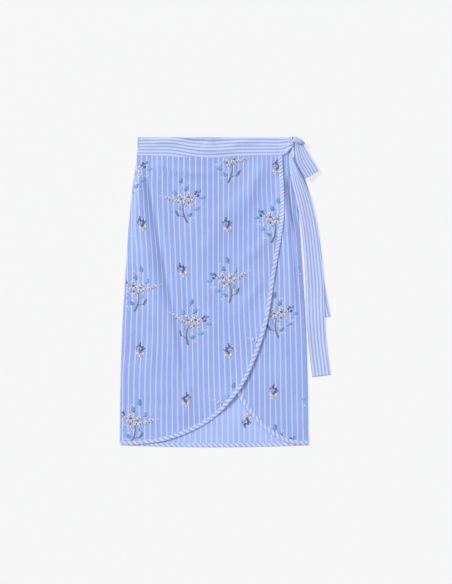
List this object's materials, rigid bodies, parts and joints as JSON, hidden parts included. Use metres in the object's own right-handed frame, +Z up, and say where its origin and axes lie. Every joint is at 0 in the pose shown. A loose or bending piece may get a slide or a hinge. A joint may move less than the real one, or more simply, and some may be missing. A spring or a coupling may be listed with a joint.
{
  "type": "wrap skirt",
  "caption": "Knee-length wrap skirt laid flat, with a curved overlap, bound edges, and a sash tied in a half bow at one end of the waistband.",
  "frame": {"origin": "bottom centre of the bounding box, on the surface that the skirt lies on", "axes": "+Y from the hem to the waist, +Z up out of the cloth, +X from the overlap's side seam to the sash"},
  "size_m": [0.5112, 0.7514, 0.0185],
  "materials": {
    "striped_cloth": "matt",
    "narrow_striped_cloth": "matt"
  },
  "bodies": {
    "root": {"back_panel": "striped_cloth", "underlap": "striped_cloth", "overlap": "striped_cloth", "back_hem_binding": "narrow_striped_cloth", "underlap_binding": "narrow_striped_cloth", "overlap_binding": "narrow_striped_cloth", "waistband_back": "narrow_striped_cloth", "waistband_under": "narrow_striped_cloth", "waistband_front": "narrow_striped_cloth", "tie_knot": "narrow_striped_cloth", "tie_loop": "narrow_striped_cloth", "tie_tail_long": "narrow_striped_cloth", "tie_tail_short": "narrow_striped_cloth"}
  },
  "joints": []
}
